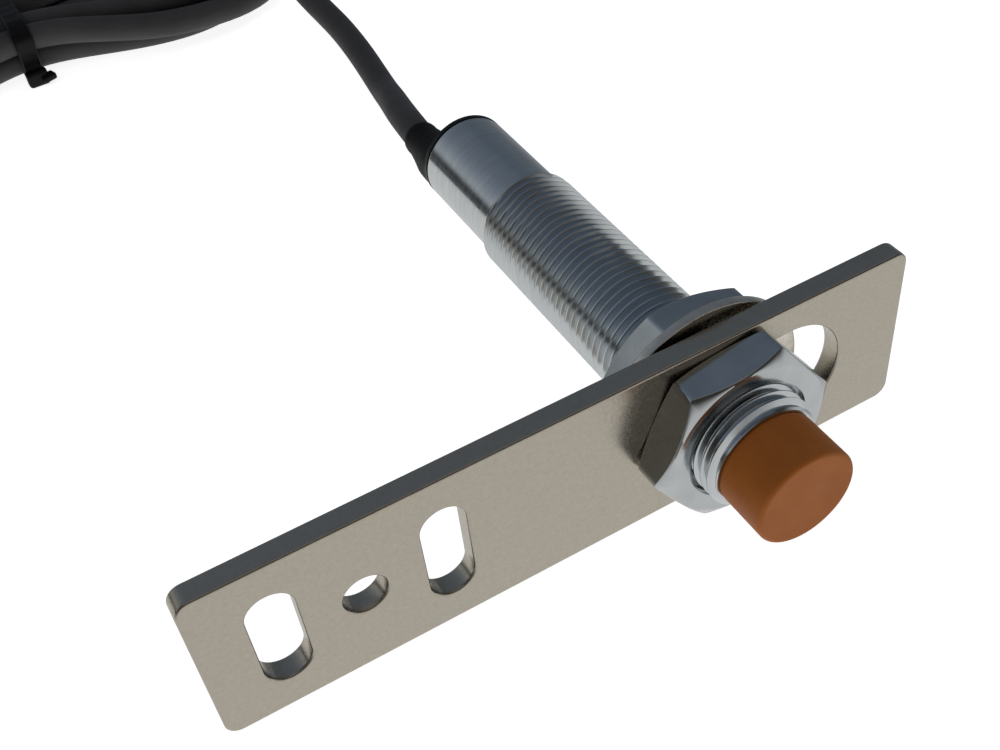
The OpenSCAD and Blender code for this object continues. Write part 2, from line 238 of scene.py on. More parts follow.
def leaning_place(angle):
    """(offset, height) of the last strand, at an angle round the one that it lies on."""
    a = math.radians(angle)
    return MIDDLE_R + CABLE_D * math.cos(a), CABLE_R + CABLE_D * math.sin(a)


def near_run_place(turn, x):
    """(offset, height) on the near run, where the upper strands stand up at the tie."""
    if turn == TURNS - 1:
        if x < TIE_X:
            rise = bell(x, NEAR_SPREAD)
            return leaning_place(LEAN_LEFT + (LEAN_AT_TIE - LEAN_LEFT) * rise)
        fall = smooth((x - TIE_X) / (HANK_X - TIE_X))
        return leaning_place(LEAN_AT_TIE + (LEAN_AT_FOLD - LEAN_AT_TIE) * fall)
    offset, height = bundle_place(turn, 1)
    if turn == 0:
        lean = CABLE_R - STAND_UP * bell(x, NEAR_SPREAD)
        offset = BUNDLE_U - 0.75 * CABLE_D + lean
        height = CABLE_R + math.sqrt(CABLE_D ** 2 - lean ** 2)
    return offset, height


def right_fold_place(turn, angle):
    """(offset, height) on the right fold. The angle runs from -90, near, to 90, far."""
    if turn == TURNS - 1 and angle < 0:
        return leaning_place(LEAN_AT_FOLD * (1 - smooth((angle + 90) / 60)))
    if turn == TURNS - 1 or turn == TURNS:
        return OUTER_R, CABLE_R
    return bundle_place(turn, 1)


def hank_points():
    """Centreline of the hank, from the right fold, where the lead comes in, to the tail."""
    points = []

    def fold(middle_x, start, end, place):
        steps = max(int(math.radians(abs(end - start)) * MIDDLE_R / STEP), 4)
        for k in range(steps):
            angle = start + (end - start) * k / steps
            u, z = place(angle)
            a = math.radians(angle)
            points.append(Vector((middle_x + u * math.cos(a), HANK_Y + u * math.sin(a), z)))

    def run(from_x, to_x, side, place):
        steps = int(abs(to_x - from_x) / STEP)
        for k in range(steps):
            x = from_x + (to_x - from_x) * k / steps
            u, z = place(x)
            points.append(Vector((x, HANK_Y + side * u, z)))

    for turn in range(TURNS + 1):
        last = turn == TURNS
        steady = (lambda _: (OUTER_R, CABLE_R)) if last else (lambda _: bundle_place(turn, 0))
        fold(HANK_X, 0, 90, steady)
        run(HANK_X, HANK_LEFT, 1, steady)
        if last:
            fold(HANK_LEFT, 90, 180, steady)
        else:
            roll = lambda a: bundle_place(turn, smooth((a - 150) / 120))
            fold(HANK_LEFT, 90, 270, roll)
            run(HANK_LEFT, HANK_X, -1, lambda x: near_run_place(turn, x))
            fold(HANK_X, -90, 0, lambda a: right_fold_place(turn, a))
    return [tied(p) for p in points]


def curve_through(route, per_span=8):
    """Catmull-Rom points through a route."""
    p = [Vector(q) for q in route]
    out = []
    for i in range(len(p) - 1):
        a, b, c, d = p[max(i - 1, 0)], p[i], p[i + 1], p[min(i + 2, len(p) - 1)]
        for k in range(per_span):
            t = k / per_span
            out.append(0.5 * (2 * b + (c - a) * t + (2 * a - 5 * b + 4 * c - d) * t * t
                              + (3 * b - a - 3 * c + d) * t ** 3))
    out.append(p[-1])
    return out


def relax(points, rounds):
    """Rounds off small kinks and keeps both ends."""
    for _ in range(rounds):
        inner = [(points[i - 1] + 2 * points[i] + points[i + 1]) / 4
                 for i in range(1, len(points) - 1)]
        points = [points[0], *inner, points[-1]]
    return points


def tube_curve(name, points, radius, body, nodes, sides=6):
    """A round tube as a curve of one open spline."""
    data = bpy.data.curves.new(name, "CURVE")
    data.dimensions = "3D"
    data.bevel_depth = 1
    data.bevel_resolution = sides
    data.use_fill_caps = True
    data.twist_mode = "MINIMUM"
    spline = data.splines.new("POLY")
    spline.points.add(len(points) - 1)
    for knot, p in zip(spline.points, points):
        knot.co = (p.x, p.y, p.z, 1)
        knot.radius = radius
    spline.use_smooth = True
    piece = add_object(name, data, body)
    for node in nodes:
        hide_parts(node)
    return piece


def make_cable():
    """The jacket from the boot through the hank to its cut end."""
    points = curve_through(LEAD_ROUTE) + hank_points() + curve_through(TAIL_ROUTE)
    points = relax(points, RELAX_ROUNDS)
    return tube_curve("cable", points, CABLE_R, "sensor",
                      ["cable_lead", "cable_hank", "cable_tail"])


def make_wire(colour):
    """One stripped wire: insulation that stops short, and the tinned strands in it."""
    points = curve_through(WIRE_ROUTES[colour])
    insulated = points[:-BARE_POINTS]
    wire = tube_curve(f"wire_{colour}_insulation", insulated, WIRE_D / 2, "sensor",
                      [f"wire_{colour}"], 4)
    tip = tinned_tip(f"wire_{colour}_tip", points[-BARE_POINTS - 2:], TIP_R)


def tinned_tip(name, points, radius, strands=7):
    """Bare strands twisted round the wire's line and held by tin."""
    def build(bm):
        for s in range(strands):
            rows = []
            for i, p in enumerate(points):
                ahead = points[min(i + 1, len(points) - 1)] - points[max(i - 1, 0)]
                side = ahead.cross(Vector((0, 0, 1))).normalized()
                up = side.cross(ahead).normalized()
                a = TAU * s / strands + i * 0.5
                mid = p + (side * math.cos(a) + up * math.sin(a)) * radius * 0.62
                rows.append([
                    bm.verts.new(mid + (side * math.cos(b) + up * math.sin(b)) * radius * 0.4)
                    for b in [TAU * k / 8 for k in range(8)]
                ])
            join_rows(bm, rows)
            bm.faces.new(rows[0][::-1])
            bm.faces.new(rows[-1])
    return add_object(name, mesh_from(build, name), "sensor")


def hull(points):
    """Convex hull of (y, z) points, anticlockwise."""
    points = sorted(set(points))

    def half(seq):
        out = []
        for p in seq:
            while len(out) > 1 and ((out[-1][0] - out[-2][0]) * (p[1] - out[-2][1])
                                    - (out[-1][1] - out[-2][1]) * (p[0] - out[-2][0])) <= 0:
                out.pop()
            out.append(p)
        return out[:-1]
    return half(points) + half(points[::-1])


def tie_loop():
    """Line of the band round the strands where it lies, as evenly spaced (y, z) points."""
    spots = []
    for turn in range(TURNS + 1):
        u, z = (OUTER_R, CABLE_R) if turn == TURNS else bundle_place(turn, 0)
        spots.append(tied(Vector((TIE_X, HANK_Y + u, z))))
    for turn in range(TURNS):
        u, z = near_run_place(turn, TIE_X)
        spots.append(tied(Vector((TIE_X, HANK_Y - u, z))))
    reach = CABLE_R + TIE_T / 2
    rim = hull([(p.y + reach * math.cos(TAU * k / 36), p.z + reach * math.sin(TAU * k / 36))
                for p in spots for k in range(36)])
    loop = []
    for (y0, z0), (y1, z1) in zip(rim, rim[1:] + rim[:1]):
        steps = max(int(math.hypot(y1 - y0, z1 - z0) / 0.0005), 1)
        loop += [(y0 + (y1 - y0) * k / steps, z0 + (z1 - z0) * k / steps) for k in range(steps)]
    return loop


def rounded_box(bm, low, high, radius, turn=Matrix()):
    """A box with rounded edges, turned about its own middle."""
    geometry = bmesh.ops.create_cube(bm, size=1)
    size = high - low
    for v in geometry["verts"]:
        v.co = Vector(a * b for a, b in zip(v.co, size))
    edges = list({e for v in geometry["verts"] for e in v.link_edges})
    made = bmesh.ops.bevel(bm, geom=edges, offset=radius, segments=3, affect="EDGES",
                           profile=0.5)
    moved = {v for f in made["faces"] for v in f.verts} | {
        v for v in geometry["verts"] if v.is_valid}
    for v in moved:
        v.co = turn @ v.co + (low + high) / 2


def make_tie():
    """Flat nylon tie with fine ribs along its outer side, a small head and a cut end."""
    loop = tie_loop()
    section = [(-0.5, -0.3), (-0.42, -0.5), (0.42, -0.5), (0.5, -0.3),
               (0.5, 0.3), (0.42, 0.5), (0.2, 0.42), (-0.2, 0.42), (-0.42, 0.5), (-0.5, 0.3)]

    def build(bm):
        rows = []
        count = len(loop)
        for i, (y, z) in enumerate(loop):
            ahead, behind = loop[(i + 1) % count], loop[i - 1]
            along = Vector((0, ahead[0] - behind[0], ahead[1] - behind[1])).normalized()
            out = Vector((0, along.z, -along.y))
            rib = 0.06 if i % 4 < 2 else 0
            rows.append([
                bm.verts.new(Vector((TIE_X + TIE_W * a, y, z))
                             + out * TIE_T * (b - (rib if abs(a) < 0.3 and b > 0 else 0)))
                for a, b in section
            ])
        join_rows(bm, rows + rows[:1])
        near = min(y for y, _ in loop)
        head_low = Vector((TIE_X - 0.0016, near - 0.0013, 0))
        head_size = Vector((0.0032, 0.0018, 0.0024))
        rounded_box(bm, head_low, head_low + head_size, 0.0005)
        end_low = Vector((TIE_X + 0.0004, near - 0.0019, 0.0006))
        end_size = Vector((0.0021, 0.0016, 0.001))
        end_turn = Matrix.Rotation(math.radians(18), 3, "Z")
        rounded_box(bm, end_low, end_low + end_size, 0.0003, end_turn)
    return add_object("cable_tie_band", mesh_from(build, "cable_tie_band"), "sensor",
                      "cable_tie")


cable = make_cable()
tie = make_tie()
for wire_colour in WIRE_ROUTES:
    make_wire(wire_colour)


# ---- bracket ----

BRACKET_EDGE = 0.3 * MM
BRACKET_CORNER = 1.5 * MM
SLOT_XS = (-29.5 * MM, -13.5 * MM)
SLOT_HALF = 3.5 * MM
SLOT_R = 2.2 * MM
PILOT_X, PILOT_R = -21.5 * MM, 2.1 * MM
TRAVEL_FROM_X, TRAVEL_TO_X, TRAVEL_R = 14.5 * MM, 23 * MM, 6.25 * MM


def ring_points(cx, cz, radius, start, end, steps):
    """Points of an arc in the (x, z) plane, angles in degrees."""
    angles = [math.radians(start + (end - start) * k / steps) for k in range(steps + 1)]
    return [(cx + radius * math.cos(a), cz + radius * math.sin(a)) for a in angles]


def long_hole(x0, z0, x1, z1, radius, steps=24):
    """Outline of a slot between two centres, along X or along Z."""
    if x1 > x0:
        return (ring_points(x1, z1, radius, -90, 90, steps)
                + ring_points(x0, z0, radius, 90, 270, steps))
    return (ring_points(x1, z1, radius, 0, 180, steps)
            + ring_points(x0, z0, radius, 180, 360, steps))


def make_plate():
    """Stamped plate with two slots, a pilot hole and the long hole, its edges rounded."""
    low, high = PLATE_LOW, PLATE_HIGH
    left, right = low.x + BRACKET_CORNER, high.x - BRACKET_CORNER
    bottom, top = low.z + BRACKET_CORNER, high.z - BRACKET_CORNER
    outline = []
    for quarter, (x, z) in enumerate([(right, top), (left, top), (left, bottom), (right, bottom)]):
        outline += ring_points(x, z, BRACKET_CORNER, 90 * quarter, 90 * quarter + 90, 8)
    loops = [outline]
    for x in SLOT_XS:
        loops.append(long_hole(x, AXIS_Z - SLOT_HALF, x, AXIS_Z + SLOT_HALF, SLOT_R))
    pilot_sides = 48
    loops.append(ring_points(PILOT_X, AXIS_Z, PILOT_R, 0, 360 - 360 / pilot_sides,
                             pilot_sides - 1))
    loops.append(long_hole(TRAVEL_FROM_X, AXIS_Z, TRAVEL_TO_X, AXIS_Z, TRAVEL_R, 40))
    thickness = high.y - low.y
    data = bpy.data.curves.new("bracket_outline", "CURVE")
    data.dimensions = "2D"
    data.fill_mode = "BOTH"
    data.extrude = thickness / 2 - BRACKET_EDGE
    data.bevel_depth = BRACKET_EDGE
    data.bevel_resolution = 3
    data.offset = -BRACKET_EDGE
    for loop in loops:
        spline = data.splines.new("POLY")
        spline.points.add(len(loop) - 1)
        spline.use_cyclic_u = True
        for knot, (x, z) in zip(spline.points, loop):
            knot.co = (x, z, 0, 1)
    drawn = bpy.data.objects.new("bracket_outline", data)
    bpy.context.scene.collection.objects.link(drawn)
    bpy.context.view_layer.update()
    flat = bpy.data.meshes.new_from_object(
        drawn.evaluated_get(bpy.context.evaluated_depsgraph_get()))
    bpy.data.objects.remove(drawn)
    middle = (low.y + high.y) / 2

    def build(bm):
        bm.from_mesh(flat)
        for v in bm.verts:
            v.co = Vector((v.co.x, middle - v.co.z, v.co.y))
    return add_object("bracket_body", mesh_from(build, "bracket_body"), "bracket",
                      "bracket_plate")


# ---- screw thread shared by the housing and the nuts ----

PITCH = 1 * MM
ROOT_R = 5.4 * MM
TOOTH = [(-0.09, 5.93 * MM), (-0.05, 6.0 * MM), (0.05, 6.0 * MM), (0.09, 5.93 * MM),
         (0.36, 5.43 * MM), (0.42, 5.40 * MM), (0.58, 5.40 * MM), (0.64, 5.43 * MM)]
THREAD_START = HOUSING_LOW.y
THREAD_LENGTH = 42.6 * MM


def thread_rows(bm, angles, start, end, radius_at):
    """Helical rows of vertices between two stations. A row shifts by one tooth at the seam."""
    first = int((start - THREAD_START) / PITCH) - 3
    last = int((end - THREAD_START) / PITCH) + 3
    rows = []
    for k in range(first, last + 1):
        for fraction, radius in TOOTH:
            row = []
            for a in angles:
                y = THREAD_START + PITCH * (k + fraction + a / TAU)
                y = min(max(y, start), end)
                row.append(bm.verts.new(round_the_axis(a, radius_at(radius, y), y)))
            rows.append(row)
    return rows


def make_housing():
    """Threaded barrel with its plain rear stretch and bore."""
    sides = 128
    angles = [TAU * j / sides for j in range(sides)]
    thread_end = THREAD_START + THREAD_LENGTH
    back = HOUSING_HIGH.y
    bore = 4.8 * MM
    edge = 0.4 * MM

    def radius_at(radius, y):
        run_out = min(y - THREAD_START, thread_end - y)
        return min(radius, ROOT_R + run_out)

    def build(bm):
        join_rows(bm, thread_rows(bm, angles, THREAD_START, thread_end, radius_at),
                  shift=len(TOOTH))
        profile = [(ROOT_R, thread_end), (ROOT_R, thread_end + 0.2 * MM), (ROOT_R, back - edge)]
        profile += arc(ROOT_R - edge, back - edge, edge, 0, 90, 5)[1:]
        profile += [(bore + 0.1 * MM, back), (bore, back - 0.1 * MM), (bore, THREAD_START),
                    (ROOT_R - 0.1 * MM, THREAD_START), (ROOT_R, THREAD_START)]
        lathe(bm, profile, sides)
    return add_object("housing_barrel", mesh_from(build, "housing_barrel"), "sensor",
                      "housing")


NUT_AF = 17 * MM
NUT_CORNER_R = NUT_AF / math.sqrt(3)
NUT_FACE_R = 8.3 * MM
NUT_CHAMFER = 0.95 * MM
NUT_SEAT_CHAMFER = 0.45 * MM
FRONT_NUT_TURN = 83.7
REAR_NUT_TURN = 99.3


def make_nut(node, corner_angle, front_chamfer, back_chamfer):
    """Hexagon nut with chamfered corners, broken edges and its own thread."""
    low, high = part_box(node)
    front, back = low.y, high.y
    sides = 192
    start = math.radians(corner_angle)
    angles = [start + TAU * j / sides for j in range(sides)]
    bore = 6.025 * MM
    flare = 0.5 * MM
    soft = 0.07 * MM

    def hexagon(a):
        side = math.fmod(a - start, TAU / 6) - TAU / 12
        return min(NUT_AF / 2 / math.cos(side), NUT_CORNER_R - 0.06 * MM)

    def half(chamfer):
        def drop(a, inset=0):
            share = (hexagon(a) - inset - NUT_FACE_R) / (NUT_CORNER_R - NUT_FACE_R)
            return max(share, 0) * chamfer
        return [
            lambda a: (bore + flare, 0),
            lambda a: (bore + flare + soft, 0),
            lambda a: (NUT_FACE_R - soft, 0),
            lambda a: (NUT_FACE_R + soft, drop(a) * 0.03 + soft * 0.2),
            lambda a: (hexagon(a) - soft, drop(a, soft)),
            lambda a: (hexagon(a) - soft * 0.3, drop(a) + soft * 0.3),
            lambda a: (hexagon(a), drop(a) + soft),
        ]

    def radius_at(radius, y):
        mouth = bore + flare - min(y - front, back - y)
        return max(radius + 0.025 * MM, mouth)

    def build(bm):
        rows = []
        for corner in half(front_chamfer):
            places = [(a, *corner(a)) for a in angles]
            rows.append([bm.verts.new(round_the_axis(a, r, front + d)) for a, r, d in places])
        for corner in half(back_chamfer)[::-1]:
            places = [(a, *corner(a)) for a in angles]
            rows.append([bm.verts.new(round_the_axis(a, r, back - d)) for a, r, d in places])
        join_rows(bm, rows)
        join_rows(bm, thread_rows(bm, angles, front, back, radius_at), shift=len(TOOTH))
    return add_object(node + "_body", mesh_from(build, node), node, node)


def make_washer():
    """Toothed lock washer: a ring with rounded edges and teeth twisted across it."""
    low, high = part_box("lock_washer")
    outer, inner = (high.x - low.x) / 2, 8.2 * MM
    front, back = high.y - 1 * MM, high.y
    soft = 0.15 * MM
    teeth = 12
    tip = 6.3 * MM
    width, thick = 2.2 * MM, 0.8 * MM
    tilt = math.radians(17)
    middle = (PLATE_HIGH.y + high.y) / 2

    def build(bm):
        profile = arc(outer - soft, back - soft, soft, 0, 90, 3)
        profile += arc(inner + soft, back - soft, soft, 90, 180, 3)
        profile += arc(inner + soft, front + soft, soft, 180, 270, 3)
        profile += arc(outer - soft, front + soft, soft, 270, 360, 3)
        lathe(bm, profile + profile[:1], 144)
        for k in range(teeth):
            turn = (Matrix.Translation((AXIS_X, middle, AXIS_Z))
                    @ Matrix.Rotation(TAU * k / teeth, 4, "Y")
                    @ Matrix.Rotation(tilt, 4, "X"))
            size = Vector((width, thick, inner + 0.3 * MM - tip))
            low_corner = Vector((-width / 2, -thick / 2, tip))
            before = len(bm.verts)
            rounded_box(bm, low_corner, low_corner + size, 0.12 * MM)
            bm.verts.ensure_lookup_table()
            for v in bm.verts[before:]:
                v.co = turn @ v.co
    return add_object("lock_washer_body", mesh_from(build, "lock_washer"), "carriage",
                      "lock_washer")


# ---- sensing cap and rear end ----

def make_cap():
    """Moulded cap with a softly rounded front edge and a faint step where it meets the barrel."""
    low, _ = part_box("sensing_cap")
    front = low.y
    radius, edge = 5.2 * MM, 0.45 * MM
    wall, hollow = 0.8 * MM, 4.4 * MM
    foot = THREAD_START
    spigot = 4.775 * MM
    end = front + 9.8 * MM

    def build(bm):
        profile = [(0, front)]
        profile += [(r * MM, front + 0.00002 * r) for r in (1.2, 2.4, 3.8)]
        profile += arc(radius - edge, front + edge, edge, 270, 360, 10)
        profile += [(radius, foot - 0.45 * MM), (radius - 0.03 * MM, foot - 0.15 * MM),
                    (radius - 0.12 * MM, foot), (spigot, foot), (spigot, end - 0.2 * MM),
                    (spigot - 0.15 * MM, end), (hollow, end), (hollow, front + wall),
                    (0, front + wall)]
        lathe(bm, profile, 128)
    return add_object("sensing_cap_body", mesh_from(build, "sensing_cap"), "sensor",
                      "sensing_cap")


ENTRY_X, ENTRY_Z = 13.5 * MM, 9.7 * MM
FLANGE_BACK = 27.6 * MM
RELIEF_END = 35.5 * MM


def make_end_cap():
    """Black disc that closes the barrel, with a low rounded rim."""
    low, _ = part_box("end_cap")
    back = FLANGE_BACK
    edge = 0.3 * MM
    bore = 1.92 * MM

    def build(bm):
        profile = [(4.775 * MM, low.y), (4.775 * MM, HOUSING_HIGH.y), (ROOT_R, HOUSING_HIGH.y)]
        profile += arc(ROOT_R - edge, back - edge, edge, 0, 90, 5)
        profile += [(0.2 * MM, back), (0.2 * MM, low.y), (4.775 * MM, low.y)]
        lathe(bm, profile, 96)
    return add_object("end_cap_disc", mesh_from(build, "end_cap"), "sensor",
                      "end_cap")


def make_boot():
    """Flared boot: trimmed to the barrel's edge at its foot, with a rolled lip at its end."""
    steps, sides = 28, 96
    base, tip = 4.1 * MM, 2.2 * MM
    limit = 5.3 * MM
    length = RELIEF_END - FLANGE_BACK

    def trimmed(a, radius):
        across, up = math.sin(a), math.cos(a)
        dx, dz = ENTRY_X - AXIS_X, ENTRY_Z - AXIS_Z
        b = across * dx + up * dz
        reach = -b + math.sqrt(b * b + limit ** 2 - dx * dx - dz * dz)
        soft = 0.25 * MM
        spare = reach - radius
        return min(radius, reach) - soft * math.exp(-abs(spare) / soft) * 0.35

    def build(bm):
        profile = []
        for k in range(steps + 1):
            t = k / steps
            lip = 0.07 * MM * math.exp(-((t - 0.94) / 0.05) ** 2)
            profile.append((tip - 0.07 * MM + (base - tip) * (1 - t) ** 1.6 + lip,
                            FLANGE_BACK + length * t))
        profile += [(1.95 * MM, RELIEF_END), (1.85 * MM, RELIEF_END - 0.4 * MM)]
        rows = [
            [bm.verts.new(round_the_axis(a, trimmed(a, r), y, ENTRY_X, ENTRY_Z))
             for a in [TAU * j / sides for j in range(sides)]]
            for r, y in profile
        ]
        join_rows(bm, rows)
        bm.faces.new(rows[0])
        bm.faces.new(rows[-1])
    return add_object("strain_relief_boot", mesh_from(build, "strain_relief"), "sensor",
                      "strain_relief")


def make_pipe():
    """Clear rod with a domed end, which carries the indicator's light to the rear face."""
    low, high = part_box("light_pipe")
    x, z = (low.x + high.x) / 2, (low.z + high.z) / 2
    radius = 0.97 * MM
    dome = 0.35 * MM

    def build(bm):
        profile = [(0, low.y), (radius - 0.1 * MM, low.y), (radius, low.y + 0.1 * MM)]
        profile += [(radius * math.cos(t), high.y - dome + dome * math.sin(t))
                    for t in [math.radians(a) for a in range(0, 90, 15)]]
        profile += [(0, high.y)]
        lathe(bm, profile, 48, x, z)
    return add_object("light_pipe_rod", mesh_from(build, "light_pipe"), "sensor",
                      "light_pipe")


make_plate()
make_housing()
make_nut("front_nut", FRONT_NUT_TURN, NUT_CHAMFER, NUT_SEAT_CHAMFER)
make_nut("rear_nut", REAR_NUT_TURN, NUT_SEAT_CHAMFER, NUT_CHAMFER)
make_washer()
make_cap()
make_end_cap()
make_boot()
make_pipe()


# ---- materials ----

EVEN = (1, 1, 1)


def add_node(tree, kind, inputs, **settings):
    """Adds a shader node; an input is either a constant or another node's output."""
    made = tree.nodes.new("ShaderNode" + kind)
    for key, value in settings.items():
        setattr(made, key, value)
    for key, value in inputs.items():
        if isinstance(value, bpy.types.NodeSocket):
            tree.links.new(value, made.inputs[key])
        else:
            made.inputs[key].default_value = value
    return made


def grain(tree, scale, stretch=EVEN, detail=3, rough=0.55):
    """Noise that sits on the object; scale is in features per metre."""
    place = add_node(tree, "TexCoord", {}).outputs["Object"]
    mapped = add_node(tree, "Mapping", {"Vector": place, "Scale": stretch})
    made = add_node(tree, "TexNoise", {"Vector": mapped.outputs["Vector"], "Scale": scale,
                                       "Detail": detail, "Roughness": rough})
    return made.outputs["Fac"]


def ramp(tree, factor, stops):
    """Colours along a factor: (position, colour) pairs."""
    made = add_node(tree, "ValToRGB", {"Fac": factor})
    table = made.color_ramp.elements
    while len(table) < len(stops):
        table.new(0.5)
    for element, (position, colour) in zip(table, stops):
        element.position = position
        element.color = (*colour, 1)
    return made.outputs["Color"]


def level(tree, factor, low, high, start=0.3, end=0.7):
    """Maps the middle of a noise onto low..high."""
    made = add_node(tree, "MapRange", {"Value": factor, "From Min": start, "From Max": end,
                                       "To Min": low, "To Max": high})
    return made.outputs["Result"]


def surface(slot, dark, light, blotch, roughness, bump_scale, bump_depth, stretch=EVEN,
            constants=None):
    """Procedural finish: blotches of two colours, uneven roughness and a fine bump."""
    made = bpy.data.materials.new("finish_" + slot)
    made.use_nodes = True
    tree = made.node_tree
    shader = tree.nodes["Principled BSDF"]
    colour = ramp(tree, grain(tree, blotch, stretch), [(0.3, dark), (0.7, light)])
    tree.links.new(colour, shader.inputs["Base Color"])
    uneven = level(tree, grain(tree, blotch * 1.7, stretch), *roughness)
    tree.links.new(uneven, shader.inputs["Roughness"])
    fine = grain(tree, bump_scale, stretch, 2)
    bump = add_node(tree, "Bump", {"Height": fine, "Distance": bump_depth, "Strength": 1})
    tree.links.new(bump.outputs["Normal"], shader.inputs["Normal"])
    for key, value in (constants or {}).items():
        shader.inputs[key].default_value = value
    return made


METAL = {"Metallic": 1.0}
# Each finish: dark and light colour, blotches per metre, roughness range, bumps per metre, their
# depth in metres, stretch of the pattern, and inputs that stay constant.
SPECS = {
    "plate_nickel": ((0.46, 0.42, 0.355), (0.50, 0.46, 0.392),
                     2200, (0.20, 0.32), 9000, 0.000004, EVEN, METAL),
    "nut_nickel": ((0.475, 0.50, 0.51), (0.55, 0.575, 0.585),
                   300, (0.12, 0.22), 1500, 0.000004, EVEN, METAL),
    "washer_steel": ((0.62, 0.585, 0.52), (0.82, 0.77, 0.68),
                     600, (0.18, 0.32), 5000, 0.000004, EVEN, METAL),
    "housing_nickel": ((0.54, 0.57, 0.59), (0.62, 0.65, 0.67),
                       1200, (0.13, 0.22), 7000, 0.0000035, (0.12, 1, 0.12), METAL),
    "cap_orange": ((0.35, 0.105, 0.016), (0.40, 0.122, 0.020),
                   260, (0.48, 0.58), 14000, 0.000006, EVEN, {"Specular IOR Level": 0.16}),
    "jacket_grey": ((0.048, 0.046, 0.048), (0.062, 0.059, 0.061),
                    150, (0.56, 0.68), 7000, 0.00001, EVEN, {"Specular IOR Level": 0.28}),
    "cap_black": ((0.006, 0.006, 0.007), (0.012, 0.012, 0.013),
                  400, (0.4, 0.5), 8000, 0.000006, EVEN, {"Specular IOR Level": 0.3}),
    "relief_black": ((0.003, 0.003, 0.003), (0.006, 0.006, 0.006),
                     400, (0.5, 0.62), 8000, 0.00001, EVEN, {"Specular IOR Level": 0.18}),
    "tie_black": ((0.003, 0.003, 0.0035), (0.006, 0.006, 0.0065),
                  300, (0.38, 0.5), 6000, 0.000008, EVEN, {"Specular IOR Level": 0.2}),
    "wire_brown": ((0.11, 0.04, 0.018), (0.15, 0.058, 0.026), 400, (0.32, 0.42), 7000, 0.000006),
    "wire_blue": ((0.015, 0.075, 0.35), (0.022, 0.105, 0.45), 400, (0.32, 0.42), 7000, 0.000006),
    "wire_black": ((0.010, 0.010, 0.011), (0.018, 0.018, 0.02), 400, (0.32, 0.42), 7000, 0.000006),
    "ferrite": ((0.022, 0.021, 0.022), (0.045, 0.043, 0.044), 1200, (0.55, 0.75), 9000, 0.00002),
    "bobbin_plastic": ((0.70, 0.66, 0.56), (0.78, 0.74, 0.64), 500, (0.38, 0.5), 6000, 0.000006),
    "enamelled_copper": ((0.42, 0.14, 0.05), (0.60, 0.22, 0.08),
                         900, (0.22, 0.34), 9000, 0.00004, (0.02, 1, 0.02), METAL),
    "holder_plastic": ((0.62, 0.62, 0.60), (0.70, 0.70, 0.68), 500, (0.4, 0.52), 6000, 0.000008),
    "board_green": ((0.012, 0.085, 0.035), (0.02, 0.13, 0.055),
                    1200, (0.25, 0.4), 6000, 0.00001, (1, 0.15, 1)),
    "chip_black": ((0.012, 0.012, 0.013), (0.024, 0.024, 0.025), 1500, (0.5, 0.65), 12000, 0.00001),
    "resistor_black": ((0.015, 0.015, 0.017), (0.04, 0.04, 0.042),
                       1100, (0.3, 0.5), 9000, 0.000006),
    "capacitor_tan": ((0.36, 0.22, 0.11), (0.46, 0.29, 0.16), 1100, (0.35, 0.5), 9000, 0.000008),
    "led_amber": ((0.75, 0.36, 0.02), (0.9, 0.48, 0.05),
                  900, (0.15, 0.25), 6000, 0.000004, EVEN, {"Transmission Weight": 0.3}),
    "pipe_clear": ((0.86, 0.83, 0.70), (0.94, 0.92, 0.82),
                   500, (0.08, 0.16), 5000, 0.000003, EVEN, {"Transmission Weight": 0.85}),
    "resin_brown": ((0.10, 0.055, 0.022), (0.16, 0.09, 0.04), 400, (0.2, 0.36), 3000, 0.00002),
}
FINISHES = {slot: surface(slot, *spec) for slot, spec in SPECS.items()}


def wear_finishes():
    """Gives every piece and every node that shows its slot's finish."""
    slots = {part["node"]: part["material_slot"] for part in frame["record"]["subparts"]}
    for node, slot in slots.items():
        shape = frame["nodes"][node]
        shape.data.materials.clear()
        shape.data.materials.append(FINISHES[slot])
    named = {"cable": "jacket_grey", "cable_tie_band": "tie_black", "bracket_body": "plate_nickel",
             "housing_barrel": "housing_nickel", "front_nut_body": "nut_nickel",
             "rear_nut_body": "nut_nickel", "lock_washer_body": "washer_steel",
             "sensing_cap_body": "cap_orange", "end_cap_disc": "cap_black",
             "strain_relief_boot": "relief_black", "light_pipe_rod": "pipe_clear"}
    for colour in WIRE_ROUTES:
        named[f"wire_{colour}_insulation"] = "wire_" + colour
        named[f"wire_{colour}_tip"] = "washer_steel"
    for name, slot in named.items():
        data = bpy.data.objects[name].data
        data.materials.clear()
        data.materials.append(FINISHES[slot])


wear_finishes()


# ---- floor, sky and lamps ----

def make_floor():
    """A wide white table that glows softly, as a light table does."""
    made = bpy.data.materials.new("floor_white")
    made.use_nodes = True
    tree = made.node_tree
    shader = tree.nodes["Principled BSDF"]
    colour = ramp(tree, grain(tree, 3), [(0.3, (0.86, 0.86, 0.86)), (0.7, (0.88, 0.88, 0.88))])
    tree.links.new(colour, shader.inputs["Base Color"])
    tree.links.new(colour, shader.inputs["Emission Color"])
    shader.inputs["Emission Strength"].default_value = 1.0
    shader.inputs["Roughness"].default_value = 0.9
    shader.inputs["Specular IOR Level"].default_value = 0.0
    bm = bmesh.new()
    bmesh.ops.create_circle(bm, cap_ends=True, radius=6, segments=96)
    data = bpy.data.meshes.new("floor")
    bm.to_mesh(data)
    bm.free()
    data.materials.append(made)
    floor = bpy.data.objects.new("floor", data)
    floor.visible_glossy = False
    bpy.context.scene.collection.objects.link(floor)


